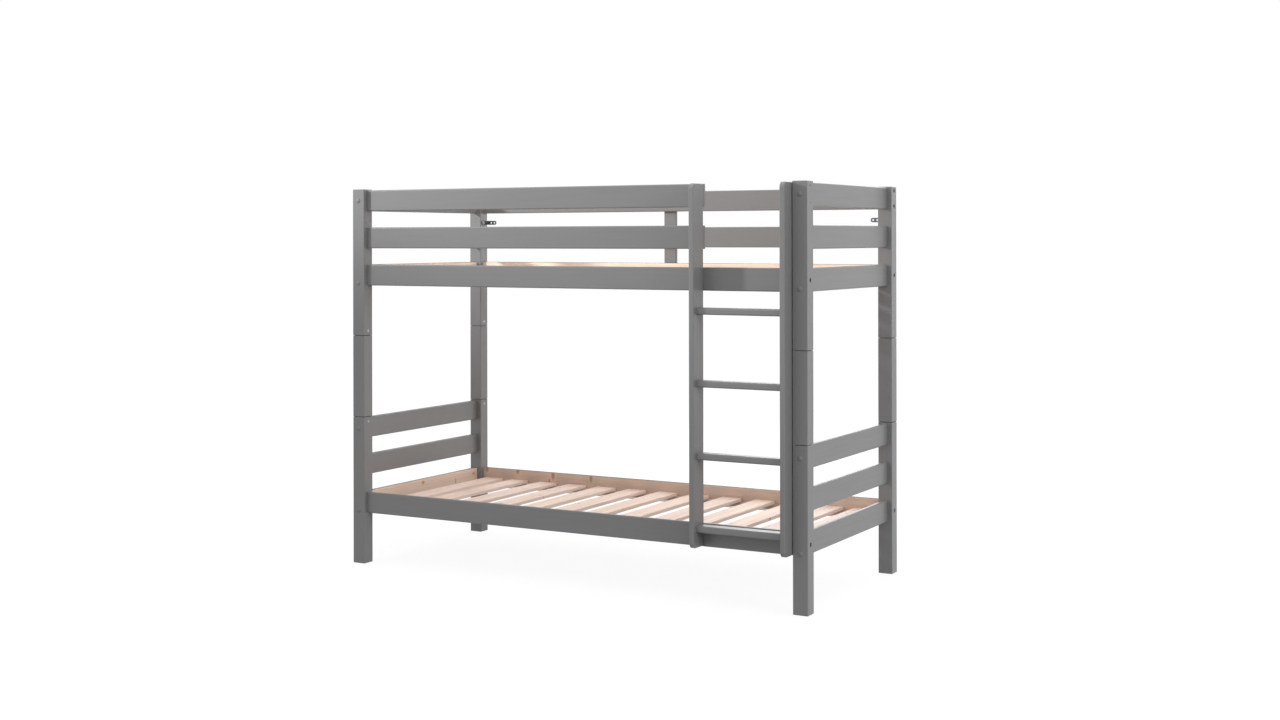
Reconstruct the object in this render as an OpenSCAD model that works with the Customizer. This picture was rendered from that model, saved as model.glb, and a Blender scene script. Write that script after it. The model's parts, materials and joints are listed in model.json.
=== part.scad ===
// Bunk bed in solid pine: two single beds, one above the other, joined by pinned
// extension posts, with guard rails, slatted bases and an upright four-rung ladder.
// Millimetres. X runs along the bed, the ladder side faces -Y, Z is up.
// The origin is the centre of the footprint, ladder and bolt caps included, on the floor.

/* [Overall size] */
// Length over the posts
bed_len = 2090; // [1700:5:2300]
// Depth over the posts, without the ladder
bed_depth = 985; // [785:5:1500]
// Height of one bed, from its feet to its post tops
bed_height = 630; // [600:5:700]
// Height of the extension posts between the two beds
extension_height = 350; // [250:5:450]

/* [Posts] */
// Side of the square posts
post_w = 60; // [54:1:75]
// Radius along the post edges
post_edge = 3; // [1:0.5:6]
// Chamfer around the post ends
post_end_chamfer = 2; // [1:0.5:4]

/* [Rails] */
// Height of every rail
rail_h = 90; // [80:1:95]
// Thickness of every rail
rail_t = 18; // [16:0.5:24]
// Height of the lowest rail above the feet
rail_start = 216; // [180:2:230]
// Gap between the top rail and the post tops
rail_drop = 4; // [0:1:20]
// Set-back of the rails behind the outer faces of the posts
rail_inset = 20; // [12:1:24]
// Radius along the rail edges
rail_edge = 5; // [2:0.5:7]

/* [Ladder] */
// Width over the two stiles
ladder_w = 390; // [340:5:450]
// Thickness of a stile
stile_t = 20; // [18:1:28]
// How far the ladder stands in front of the posts
ladder_proud = 69; // [55:1:90]
// Gap between the ladder and the right-hand front post
ladder_gap = 2; // [0:0.5:20]
// Radius of the front corners of the stiles
stile_corner = 22; // [10:1:30]
// Height of the stile feet above the floor
stile_foot = 220; // [150:1:230]
// Centre height of the lowest rung
rung_start = 292; // [240:1:300]
// Step from rung to rung
rung_step = 276; // [230:1:280]
// Thickness of a rung
rung_t = 26; // [22:1:32]
// Depth of a rung, front to back
rung_d = 54; // [40:1:60]
// Set-back of the rungs behind the front of the stiles
rung_setback = 21.5; // [5:0.5:25]

/* [Slatted bases] */
// Number of slats in each base
slat_count = 13; // [10:1:15]
// Width of a slat
slat_w = 90; // [60:1:100]
// Thickness of a slat
slat_t = 14; // [12:0.5:20]
// Gap between the end posts and evenly spaced outer slats
slat_margin = 4; // [3:1:20]
// How far the two outer slats sit in from even spacing
outer_slat_shift = 17; // [0:1:30]
// Height of the cleats that carry the slats
cleat_h = 28; // [20:1:35]
// Width of the cleats
cleat_w = 20; // [16:1:28]

/* [Wall brackets] */
// Height of the wall brackets above the middle guard rail
bracket_rise = 26; // [12:1:40]
// Length of each leg of a wall bracket
bracket_leg = 52; // [50:1:54]
// Width of the bracket strap
bracket_w = 19; // [17:1:22]

/* [Finish] */
// Paint on posts, rails and ladder
paint = "#7b7b7b"; // [#7b7b7b:Grey, #e8e6e0:White, #5c6b5e:Green]
// Bare wood of slats and cleats
pine = "#dcc3ac"; // [#dcc3ac:Pine, #c89f74:Oiled pine]

/* [Hidden] */

$fn = 48;
eps = 0.01;
// Radial room of glued, pressed and screwed pieces in their holes
fit = 0.05;
steel = "#b9bcc0";
dark_steel = "#55585c";
brass = "#b8995a";
webbing = "#e9e6df";

// Directions along X and Y
left = -1;
right = 1;
front = -1;
rear = 1;
sides_x = [left, right];
sides_y = [front, rear];

// Heights of the two beds' feet
lower_z = 0;
upper_z = bed_height + extension_height;

// Faces and centre lines of the bed, measured from the bed's own centre
post_x = bed_len / 2 - post_w / 2;
post_y = bed_depth / 2 - post_w / 2;
inner_x = bed_len / 2 - post_w;
inner_y = bed_depth / 2 - post_w;
rail_x = bed_len / 2 - rail_inset - rail_t / 2;
rail_y = bed_depth / 2 - rail_inset - rail_t / 2;
rail_in_y = rail_y - rail_t / 2;

// Heights of the three rails above a bed's feet
bottom_rail = rail_start;
top_rail = bed_height - rail_drop - rail_h;
middle_rail = (bottom_rail + top_rail) / 2;
rail_mid = rail_h / 2;

// Ladder
stile_front = -bed_depth / 2 - ladder_proud;
stile_back = -rail_y - rail_t / 2;
stile_top = upper_z + top_rail + rail_h;
stile_right_x = inner_x - ladder_gap - stile_t / 2;
stile_left_x = stile_right_x - ladder_w + stile_t;
rung_y = stile_front + rung_setback + rung_d / 2;

// Slatted base
cleat_lift = 3;
cleat_end_gap = 4;
slat_end_gap = 3;
slat_edge = 2;
cleat_z = rail_start + cleat_lift;
slat_z = cleat_z + cleat_h;
slat_len = 2 * (rail_in_y - slat_end_gap);
slat_span = 2 * (inner_x - slat_margin) - slat_w;
slat_step = slat_span / (slat_count - 1);
outer_shift = min(outer_slat_shift, (slat_step - slat_w) / 2);
tape_w = 25;
tape_t = 1;
tape_y = slat_len / 3;

// Joint pins between the posts, and the screws that lock them
pin_r = 6;
pin_half = 40;
pin_play = 0.4;
pin_end_gap = 2;
lock_z = 21;
lower_lock_z = bed_height - lock_z;
upper_lock_z = upper_z + lock_z;

// Bolts with threaded inserts in the rail ends
bolt_r = 3;
bolt_hole_r = 3.3;
bolt_head_r = 5;
bolt_head_h = 4;
bolt_hex_r = 2.9;
bolt_hex_depth = 2.5;
bolt_tip_gap = 2;
sink_r = 8.5;
sink_depth = 12;
insert_r = 5;
insert_len = 20;
bolt_end = post_w + insert_len - bolt_tip_gap;
cap_r = 9.5;
cap_h = 4;
cap_plug = 3;

// Shallow marks on the post that meets no guard rails, where the other posts have their bolts
mark_r = 3.3;
mark_depth = 1.5;

// Distances of bolts and dowels above the lower edge of a rail
low_bolt = 12;
guard_bolt_edge = 13;
guard_bolts = [guard_bolt_edge, rail_h - guard_bolt_edge];
dowels_beside_low_bolt = [rail_mid - 10, rail_mid + 30];
dowels_beside_mid_bolt = [rail_mid - 30, rail_mid + 30];
dowels_between_bolts = [rail_mid];
dowel_r = 4;
dowel_half = 20;
rung_dowel_half = 15;
rung_dowels_y = [rung_y - rung_d / 4, rung_y + rung_d / 4];

// Wood screws
screw_r = 2.2;
screw_head_r = 4.5;
screw_head_h = 3;
screw_hex_r = 2;
screw_hex_depth = 1.5;
screw_head_play = 0.1;
short_screw = 30;
long_screw = 50;
lock_screw = 23.5;
lock_hole = 24;
stile_screws = [rail_mid + 9, rail_mid + 21];
cleat_screw_step = 0.45 * inner_x;
cleat_screws_x = [for (i = [-2:2]) i * cleat_screw_step];

// Lower edges of the rails each stile is screwed to
left_stile_rails = [for (z = [bottom_rail, middle_rail, top_rail]) upper_z + z];
right_stile_rails = [upper_z + bottom_rail];
foot_rails = [lower_z + bottom_rail];

// Batten that ties the rear guard rails
batten_w = 60;
batten_inset = 10;
batten_start = upper_z + bottom_rail + batten_inset;
batten_end = upper_z + top_rail + rail_h - batten_inset;
batten_screws_z = [for (z = [bottom_rail, middle_rail, top_rail]) upper_z + z + rail_mid];
batten_screws_x = [-batten_w / 4, batten_w / 4];

// Wall brackets
bracket_z = upper_z + middle_rail + rail_h + bracket_rise;
bracket_t = 2;
bracket_hole_r = 4;
bracket_holes = [23.5, 41];
washer_r = 8;
washer_t = 1.5;
washer_play = 0.3;

// ---------- shapes ----------

module rounded_section(w, h, r) {
    square([w - 2 * r, h], center = true);
    square([w, h - 2 * r], center = true);
    for (x = [-1, 1], y = [-1, 1])
        translate([x * (w / 2 - r), y * (h / 2 - r)]) circle(r);
}

// A board along X from x1 to x2, centred on y, standing on z
module board_x(x1, x2, y, z, t, h, r) {
    translate([x1, y, z + h / 2]) rotate([90, 0, 90])
        linear_extrude(x2 - x1) rounded_section(t, h, r);
}

// A board along Y from y1 to y2, centred on x, standing on z
module board_y(y1, y2, x, z, t, h, r) {
    translate([x, y2, z + h / 2]) rotate([90, 0, 0])
        linear_extrude(y2 - y1) rounded_section(t, h, r);
}

// A board along Z from z1 to z2, centred on x and y
module board_z(z1, z2, x, y, w, d, r) {
    translate([x, y, z1]) linear_extrude(z2 - z1) rounded_section(w, d, r);
}

// Turn local +Z to point along X or Y, to the given side
module facing_x(side) rotate([0, 90 * side, 0]) children();
module facing_y(side) rotate([-90 * side, 0, 0]) children();

// A square with its corners cut off, for easing the ends of a post
module eased_outline(w, h, c) {
    polygon([
        [-w / 2 + c, 0], [w / 2 - c, 0], [w / 2, c], [w / 2, h - c],
        [w / 2 - c, h], [-w / 2 + c, h], [-w / 2, h - c], [-w / 2, c]
    ]);
}

module plain_post(h) {
    intersection() {
        linear_extrude(h) rounded_section(post_w, post_w, post_edge);
        for_both_ways() translate([0, post_w, 0]) rotate([90, 0, 0])
            linear_extrude(2 * post_w) eased_outline(post_w, h, post_end_chamfer);
    }
}

module for_both_ways() {
    intersection() {
        children();
        rotate([0, 0, 90]) children();
    }
}

// ---------- fasteners, each with its outer face at z = 0 and its shank along -Z ----------

module bolt() {
    translate([0, 0, -sink_depth]) difference() {
        cylinder(r = bolt_head_r, h = bolt_head_h);
        translate([0, 0, bolt_head_h - bolt_hex_depth])
            cylinder(r = bolt_hex_r, h = bolt_hex_depth + 1, $fn = 6);
    }
    translate([0, 0, -bolt_end]) cylinder(r = bolt_r, h = bolt_end - sink_depth);
}

module bolt_way() {
    translate([0, 0, -post_w - eps]) cylinder(r = bolt_hole_r, h = post_w + 2 * eps);
    translate([0, 0, -sink_depth]) cylinder(r = sink_r, h = sink_depth + 1);
}

module drill_mark() translate([0, 0, -mark_depth]) cylinder(r = mark_r, h = mark_depth + 1);

module insert() {
    translate([0, 0, -post_w - insert_len]) difference() {
        cylinder(r = insert_r, h = insert_len);
        translate([0, 0, -eps]) cylinder(r = bolt_r + fit, h = insert_len + 2 * eps);
    }
}

module insert_seat() {
    translate([0, 0, -post_w - insert_len]) cylinder(r = insert_r + fit, h = insert_len + 1);
}

module bolt_cap() {
    dome_r = (cap_r * cap_r + cap_h * cap_h) / (2 * cap_h);
    intersection() {
        translate([0, 0, cap_h - dome_r]) sphere(dome_r, $fn = 96);
        cylinder(r = cap_r, h = cap_h + 1);
    }
    translate([0, 0, -cap_plug]) cylinder(r = sink_r - fit, h = cap_plug);
}

module screw(len) {
    translate([0, 0, -screw_head_h]) difference() {
        cylinder(r = screw_head_r, h = screw_head_h);
        translate([0, 0, screw_head_h - screw_hex_depth])
            cylinder(r = screw_hex_r, h = screw_hex_depth + 1, $fn = 6);
    }
    translate([0, 0, -len]) cylinder(r = screw_r, h = len - screw_head_h);
}

module screw_way(len) {
    translate([0, 0, -len]) cylinder(r = screw_r + fit, h = len);
    translate([0, 0, -screw_head_h])
        cylinder(r = screw_head_r + screw_head_play, h = screw_head_h + 1);
}

// A dowel half in the post and half in the rail, centred on z = 0
module dowel(extra = 0) {
    translate([0, 0, -dowel_half]) cylinder(r = dowel_r + extra, h = 2 * dowel_half);
}

// ---------- where the fasteners go ----------

// Bolt heights of the end rails, for a bed whose feet are at z
function end_bolt_z(z) = [z + bottom_rail + low_bolt, z + top_rail + rail_mid];
function side_bolt_z(z) = [z + bottom_rail + rail_mid];
guard_bolt_z = [for (b = guard_bolts) upper_z + top_rail + b];

function end_dowel_z(z) = concat(
    [for (d = dowels_beside_low_bolt) z + bottom_rail + d],
    [for (d = dowels_beside_mid_bolt) z + middle_rail + d],
    [for (d = dowels_beside_mid_bolt) z + top_rail + d]);
function side_dowel_z(z) = [for (d = dowels_beside_mid_bolt) z + bottom_rail + d];
guard_dowel_z = concat(
    [for (d = dowels_beside_mid_bolt) upper_z + middle_rail + d],
    [for (d = dowels_between_bolts) upper_z + top_rail + d]);

// The front guard rails stop at the ladder, so they meet only the left-hand post
function has_guard(sx, sy) = !(sx == right && sy == front);

module at_end_bolts(z, sx, sy)
    for (h = end_bolt_z(z))
        translate([sx * rail_x, sy * bed_depth / 2, h]) facing_y(sy) children();

module at_side_bolts(z, sx, sy)
    for (h = side_bolt_z(z))
        translate([sx * bed_len / 2, sy * rail_y, h]) facing_x(sx) children();

module at_guard_bolts(sx, sy)
    for (h = guard_bolt_z)
        translate([sx * bed_len / 2, sy * rail_y, h]) facing_x(sx) children();

module at_end_dowels(z, sx, sy)
    for (h = end_dowel_z(z))
        translate([sx * rail_x, sy * inner_y, h]) facing_y(sy) children();

module at_side_dowels(z, sx, sy)
    for (h = side_dowel_z(z))
        translate([sx * inner_x, sy * rail_y, h]) facing_x(sx) children();

module at_guard_dowels(sx, sy)
    for (h = guard_dowel_z)
        translate([sx * inner_x, sy * rail_y, h]) facing_x(sx) children();

module at_lock_screw(z, sx, sy)
    translate([sx * inner_x, sy * post_y, z]) facing_x(-sx) children();

module at_corners()
    for ($sx = sides_x, $sy = sides_y) children();

module at_stile_screws(x, rail_bottoms)
    for (b = rail_bottoms, s = stile_screws)
        translate([x, -rail_in_y, b + s]) facing_y(rear) children();

module at_cleat_screws(z, sy)
    for (x = cleat_screws_x)
        translate([x, sy * (rail_in_y - cleat_w), z + cleat_z + cleat_h / 2])
            facing_y(-sy) children();

module at_batten_screws()
    for (x = batten_screws_x, h = batten_screws_z)
        translate([x, rail_y + 1.5 * rail_t, h]) facing_y(rear) children();

module at_bracket_screw(sx)
    translate([sx * (inner_x - bracket_t - washer_t - screw_head_h),
               bed_depth / 2 - bracket_holes[1], bracket_z]) facing_x(-sx) children();

// ---------- posts ----------

module bed_post(z, sx, sy, pin_z, lock) {
    color(paint) difference() {
        translate([sx * post_x, sy * post_y, z]) plain_post(bed_height);
        at_end_bolts(z, sx, sy) bolt_way();
        at_side_bolts(z, sx, sy) bolt_way();
        at_end_dowels(z, sx, sy) dowel(fit);
        at_side_dowels(z, sx, sy) dowel(fit);
        translate([sx * post_x, sy * post_y, pin_z - pin_half])
            cylinder(r = pin_r + fit, h = 2 * pin_half);
        at_lock_screw(lock, sx, sy) screw_way(lock_hole);
        children();
    }
}

module lower_post(sx, sy) bed_post(lower_z, sx, sy, bed_height, lower_lock_z);

module upper_post(sx, sy) {
    bed_post(upper_z, sx, sy, upper_z, upper_lock_z) {
        if (has_guard(sx, sy)) {
            at_guard_bolts(sx, sy) bolt_way();
            at_guard_dowels(sx, sy) dowel(fit);
        } else {
            at_guard_bolts(sx, sy) drill_mark();
        }
        if (sy == rear) at_bracket_screw(sx) screw_way(short_screw);
    }
}

module extension_post(sx, sy) {
    color(paint) translate([sx * post_x, sy * post_y, bed_height]) difference() {
        plain_post(extension_height);
        for (z = [0, extension_height]) translate([0, 0, z - pin_half - pin_end_gap])
            cylinder(r = pin_r + pin_play, h = 2 * (pin_half + pin_end_gap));
    }
}

module joint_pins(z) {
    color(steel) at_corners()
        translate([$sx * post_x, $sy * post_y, z - pin_half]) cylinder(r = pin_r, h = 2 * pin_half);
}

// ---------- rails ----------

module end_rail(z, sx, level) {
    color(paint) difference() {
        board_y(-inner_y, inner_y, sx * rail_x, z + level, rail_t, rail_h, rail_edge);
        for (sy = sides_y) {
            at_end_bolts(z, sx, sy) insert_seat();
            at_end_dowels(z, sx, sy) dowel(fit);
        }
    }
}

module side_rail(z, sy) {
    color(paint) difference() {
        board_x(-inner_x, inner_x, sy * rail_y, z + bottom_rail, rail_t, rail_h, rail_edge);
        for (sx = sides_x) {
            at_side_bolts(z, sx, sy) insert_seat();
            at_side_dowels(z, sx, sy) dowel(fit);
        }
        at_cleat_screws(z, sy) screw_way(short_screw);
        if (z == upper_z && sy == rear) at_batten_screws() screw_way(short_screw);
        if (sy == front)
            for (x = [stile_left_x, stile_right_x])
                at_stile_screws(x, [z + bottom_rail]) screw_way(long_screw);
    }
}

module front_guard_rail(level) {
    color(paint) difference() {
        board_x(-inner_x, stile_left_x + stile_t / 2, -rail_y, upper_z + level,
                rail_t, rail_h, rail_edge);
        at_guard_bolts(left, front) insert_seat();
        at_guard_dowels(left, front) dowel(fit);
        at_stile_screws(stile_left_x, [upper_z + level]) screw_way(long_screw);
    }
}

module rear_guard_rail(level) {
    color(paint) difference() {
        board_x(-inner_x, inner_x, rail_y, upper_z + level, rail_t, rail_h, rail_edge);
        for (sx = sides_x) {
            at_guard_bolts(sx, rear) insert_seat();
            at_guard_dowels(sx, rear) dowel(fit);
        }
        at_batten_screws() screw_way(short_screw);
    }
}

module rear_guard_batten() {
    color(paint) difference() {
        board_z(batten_start, batten_end, 0, rail_y + rail_t, batten_w, rail_t, rail_edge);
        at_batten_screws() screw_way(short_screw);
    }
}

// ---------- ladder ----------

// Side view of a stile: Y across, Z up, with its two front corners rounded
module stile_outline() {
    mid = stile_front + stile_corner;
    translate([mid, stile_foot]) square([stile_back - mid, stile_top - stile_foot]);
    translate([stile_front, stile_foot + stile_corner])
        square([stile_corner + eps, stile_top - stile_foot - 2 * stile_corner]);
    for (z = [stile_foot + stile_corner, stile_top - stile_corner])
        translate([mid, z]) circle(stile_corner);
}

module at_rung_dowels()
    for (i = [0:3], x = [stile_left_x + stile_t / 2, stile_right_x - stile_t / 2], y = rung_dowels_y)
        translate([x, y, rung_start + i * rung_step]) facing_x(right) children();

module rung_dowel(extra = 0)
    translate([0, 0, -rung_dowel_half]) cylinder(r = dowel_r + extra, h = 2 * rung_dowel_half);

module ladder_stile(x, rails) {
    color(paint) difference() {
        translate([x - stile_t / 2, 0, 0]) rotate([90, 0, 90])
            linear_extrude(stile_t) stile_outline();
        at_rung_dowels() rung_dowel(fit);
        at_stile_screws(x, concat(rails, foot_rails)) screw_way(long_screw);
    }
}

module ladder_rung(i) {
    color(paint) difference() {
        board_x(stile_left_x + stile_t / 2, stile_right_x - stile_t / 2, rung_y,
                rung_start + i * rung_step - rung_t / 2, rung_d, rung_t, rail_edge);
        at_rung_dowels() rung_dowel(fit);
    }
}

// ---------- slatted bases ----------

module cleats(z) {
    color(pine) for (sy = sides_y) difference() {
        board_x(-inner_x + cleat_end_gap, inner_x - cleat_end_gap, sy * (rail_in_y - cleat_w / 2),
                z + cleat_z, cleat_w, cleat_h, slat_edge);
        at_cleat_screws(z, sy) screw_way(short_screw);
    }
}

function even_slat_x(i) = -slat_span / 2 + i * slat_step;
function slat_x(i) = even_slat_x(i) + (i == 0 ? outer_shift : i == slat_count - 1 ? -outer_shift : 0);

module slats(z) {
    color(pine) for (i = [0:slat_count - 1])
        board_y(-slat_len / 2, slat_len / 2, slat_x(i), z + slat_z, slat_w, slat_t, slat_edge);
}

module slat_tapes(z) {
    color(webbing) for (sy = sides_y)
        translate([-slat_span / 2 - slat_w / 4, sy * tape_y - tape_w / 2, z + slat_z - tape_t])
            cube([slat_span + slat_w / 2, tape_w, tape_t]);
}

// ---------- groups of fasteners ----------

module bolts_and_inserts_at(z) {
    at_corners() {
        at_end_bolts(z, $sx, $sy) children();
        at_side_bolts(z, $sx, $sy) children();
        if (z == upper_z && has_guard($sx, $sy)) at_guard_bolts($sx, $sy) children();
    }
}

module bolts(z) color(dark_steel) bolts_and_inserts_at(z) bolt();

module inserts(z) color(brass) bolts_and_inserts_at(z) insert();

module bolt_caps(z) color(paint) at_corners() at_end_bolts(z, $sx, $sy) bolt_cap();

module dowels(z) {
    color(pine) at_corners() {
        at_end_dowels(z, $sx, $sy) dowel();
        at_side_dowels(z, $sx, $sy) dowel();
        if (z == upper_z && has_guard($sx, $sy)) at_guard_dowels($sx, $sy) dowel();
    }
    if (z == upper_z) color(pine) at_rung_dowels() rung_dowel();
}

module lower_screws() {
    color(steel) {
        at_corners() at_lock_screw(lower_lock_z, $sx, $sy) screw(lock_screw);
        for (sy = sides_y) at_cleat_screws(lower_z, sy) screw(short_screw);
    }
}

module upper_screws() {
    color(steel) {
        at_corners() at_lock_screw(upper_lock_z, $sx, $sy) screw(lock_screw);
        for (sy = sides_y) at_cleat_screws(upper_z, sy) screw(short_screw);
        at_stile_screws(stile_left_x, left_stile_rails) screw(long_screw);
        at_stile_screws(stile_right_x, right_stile_rails) screw(long_screw);
        at_batten_screws() screw(short_screw);
        for (sx = sides_x) at_bracket_screw(sx) screw(short_screw);
    }
}

// ---------- wall brackets ----------

// An angle of perforated strap on the inner face of a rear upper post
module wall_bracket(sx) {
    color(steel) translate([sx * inner_x, bed_depth / 2, bracket_z]) difference() {
        union() {
            bracket_strap(sx);
            bracket_strap_to_post(sx);
        }
        for (d = bracket_holes) {
            translate([-sx * d, 0, 0]) facing_y(rear)
                cylinder(r = bracket_hole_r, h = 3 * bracket_t, center = true);
            translate([0, -d, 0]) facing_x(right)
                cylinder(r = bracket_hole_r, h = 3 * bracket_t, center = true);
        }
    }
}

// The strap's outline, from the fold to its round end
module strap_outline() {
    end = bracket_leg - bracket_w / 2;
    translate([0, -bracket_w / 2]) square([end, bracket_w]);
    translate([end, 0]) circle(bracket_w / 2);
}

module bracket_strap(sx)
    rotate([90, 0, 0]) mirror([sx == right ? 1 : 0, 0, 0])
        linear_extrude(bracket_t) strap_outline();

module bracket_strap_to_post(sx)
    translate([sx == right ? 0 : bracket_t, 0, 0]) rotate([0, -90, 0]) rotate([0, 0, -90])
        linear_extrude(bracket_t) strap_outline();

module wall_bracket_washers() {
    color(steel) for (sx = sides_x)
        translate([sx * (inner_x - bracket_t), bed_depth / 2 - bracket_holes[1], bracket_z])
            facing_x(-sx) difference() {
                cylinder(r = washer_r, h = washer_t);
                translate([0, 0, -1]) cylinder(r = screw_r + washer_play, h = washer_t + 2);
            }
}

// ---------- the assembly ----------

// The footprint runs from the front of the ladder to the bolt caps on the rear posts
module place() translate([0, (ladder_proud - cap_h) / 2, 0]) children();

place() lower_post(left, front);  // lower_post_front_left
place() lower_post(right, front);  // lower_post_front_right
place() lower_post(left, rear);  // lower_post_rear_left
place() lower_post(right, rear);  // lower_post_rear_right
place() extension_post(left, front);  // extension_post_front_left
place() extension_post(right, front);  // extension_post_front_right
place() extension_post(left, rear);  // extension_post_rear_left
place() extension_post(right, rear);  // extension_post_rear_right
place() upper_post(left, front);  // upper_post_front_left
place() upper_post(right, front);  // upper_post_front_right
place() upper_post(left, rear);  // upper_post_rear_left
place() upper_post(right, rear);  // upper_post_rear_right

place() end_rail(lower_z, left, bottom_rail);  // lower_left_end_rail_bottom
place() end_rail(lower_z, left, middle_rail);  // lower_left_end_rail_middle
place() end_rail(lower_z, left, top_rail);  // lower_left_end_rail_top
place() end_rail(lower_z, right, bottom_rail);  // lower_right_end_rail_bottom
place() end_rail(lower_z, right, middle_rail);  // lower_right_end_rail_middle
place() end_rail(lower_z, right, top_rail);  // lower_right_end_rail_top
place() end_rail(upper_z, left, bottom_rail);  // upper_left_end_rail_bottom
place() end_rail(upper_z, left, middle_rail);  // upper_left_end_rail_middle
place() end_rail(upper_z, left, top_rail);  // upper_left_end_rail_top
place() end_rail(upper_z, right, bottom_rail);  // upper_right_end_rail_bottom
place() end_rail(upper_z, right, middle_rail);  // upper_right_end_rail_middle
place() end_rail(upper_z, right, top_rail);  // upper_right_end_rail_top

place() side_rail(lower_z, front);  // lower_front_side_rail
place() side_rail(lower_z, rear);  // lower_rear_side_rail
place() side_rail(upper_z, front);  // upper_front_side_rail
place() side_rail(upper_z, rear);  // upper_rear_side_rail
place() front_guard_rail(middle_rail);  // front_guard_rail_middle
place() front_guard_rail(top_rail);  // front_guard_rail_top
place() rear_guard_rail(middle_rail);  // rear_guard_rail_middle
place() rear_guard_rail(top_rail);  // rear_guard_rail_top
place() rear_guard_batten();

place() ladder_stile(stile_left_x, left_stile_rails);  // ladder_stile_left
place() ladder_stile(stile_right_x, right_stile_rails);  // ladder_stile_right
place() ladder_rung(0);  // ladder_rung_1
place() ladder_rung(1);  // ladder_rung_2
place() ladder_rung(2);  // ladder_rung_3
place() ladder_rung(3);  // ladder_rung_4

place() cleats(lower_z);  // lower_cleats
place() cleats(upper_z);  // upper_cleats
place() slats(lower_z);  // lower_slats
place() slats(upper_z);  // upper_slats
place() slat_tapes(lower_z);  // lower_slat_tapes
place() slat_tapes(upper_z);  // upper_slat_tapes

place() joint_pins(bed_height);  // lower_joint_pins
place() joint_pins(upper_z);  // upper_joint_pins
place() lower_screws();
place() upper_screws();
place() bolts(lower_z);  // lower_bolts
place() bolts(upper_z);  // upper_bolts
place() bolt_caps(lower_z);  // lower_bolt_caps
place() bolt_caps(upper_z);  // upper_bolt_caps
place() inserts(lower_z);  // lower_inserts
place() inserts(upper_z);  // upper_inserts
place() dowels(lower_z);  // lower_dowels
place() dowels(upper_z);  // upper_dowels

place() wall_bracket(left);  // wall_bracket_left
place() wall_bracket(right);  // wall_bracket_right
place() wall_bracket_washers();
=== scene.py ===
"""The looks of a pine bunk bed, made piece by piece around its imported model.

Metres throughout. X runs along the bed, the ladder side faces -Y, Z is up.
"""

import json
import math

import bmesh
import bpy
from bpy.props import FloatProperty, FloatVectorProperty, IntProperty, PointerProperty
from mathutils import Matrix, Vector

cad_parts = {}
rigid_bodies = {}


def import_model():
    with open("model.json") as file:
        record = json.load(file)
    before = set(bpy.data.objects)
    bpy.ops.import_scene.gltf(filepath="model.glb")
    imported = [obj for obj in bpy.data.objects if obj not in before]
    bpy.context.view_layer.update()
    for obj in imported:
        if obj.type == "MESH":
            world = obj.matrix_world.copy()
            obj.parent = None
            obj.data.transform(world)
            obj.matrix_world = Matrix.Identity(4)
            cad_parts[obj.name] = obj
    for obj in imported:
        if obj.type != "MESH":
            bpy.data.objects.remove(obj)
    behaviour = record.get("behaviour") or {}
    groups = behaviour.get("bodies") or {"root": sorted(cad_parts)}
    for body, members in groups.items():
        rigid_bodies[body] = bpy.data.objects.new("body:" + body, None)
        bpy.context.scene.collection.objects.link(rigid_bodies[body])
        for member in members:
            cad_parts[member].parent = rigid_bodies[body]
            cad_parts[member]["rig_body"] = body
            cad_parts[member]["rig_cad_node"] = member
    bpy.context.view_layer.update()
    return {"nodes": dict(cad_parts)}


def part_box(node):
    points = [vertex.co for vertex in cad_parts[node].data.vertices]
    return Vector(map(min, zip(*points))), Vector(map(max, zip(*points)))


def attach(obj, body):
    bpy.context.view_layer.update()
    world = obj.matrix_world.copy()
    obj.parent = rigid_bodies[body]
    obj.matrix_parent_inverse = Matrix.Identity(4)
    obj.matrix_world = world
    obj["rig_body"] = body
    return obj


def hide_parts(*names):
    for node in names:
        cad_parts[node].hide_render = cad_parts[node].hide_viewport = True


bl_info = {
    "name": "Pine Bunk Bed",
    "version": (1, 0, 0),
    "blender": (4, 5, 0),
    "location": "3D View > Sidebar > Bunk Bed",
    "description": "Boards, ladder, slats, fittings and finishes of a painted pine bunk bed",
    "category": "Object",
}

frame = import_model()

BEDS = ("lower", "upper")
CORNERS = ("front_left", "front_right", "rear_left", "rear_right")
AXES = {"X": 0, "Y": 1, "Z": 2}
INWARD = {"left": (1, 0, 0), "right": (-1, 0, 0), "front": (0, 1, 0), "rear": (0, -1, 0)}
QUARTER = math.pi / 2

# ---- fixed sizes ----

MERGE_DISTANCE = 1e-5
FLAT_ANGLE = math.radians(1)
SMOOTH_ANGLE = math.radians(32)
DOME_SMOOTH_ANGLE = math.radians(50)
SHARP_ANGLE = math.radians(40)
RIM_ANGLE = math.radians(50)
# Least cosine of the angle between an edge or a face's normal and a direction it follows
PARALLEL = 0.99
FACES_INWARD = 0.75
FACES_UP = 0.9
# Steps in the roundings of the pieces
FINE_STEPS = 2
ARRIS_STEPS = 4
BOARD_STEPS = 5
CORNER_STEPS = 10
# Distance between the rings of edges along a board
BOARD_RING_SPACING = 0.12
TAPE_CUTS = 96
TAPE_EDGE = 0.0004
# Room around a screw head in its recess, and the recess itself
HEAD_ROOM = 0.0001
HEAD_DEPTH = 0.003
HEAD_SIDES = 32
CAP_SIDES = 48
# Part of a step by which the dome of a cap stays flat at its middle
DOME_OPENING = 0.3
RUNGS = 4

# ---- fixed looks ----

BARE_FACE_MATERIAL = 1
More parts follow.
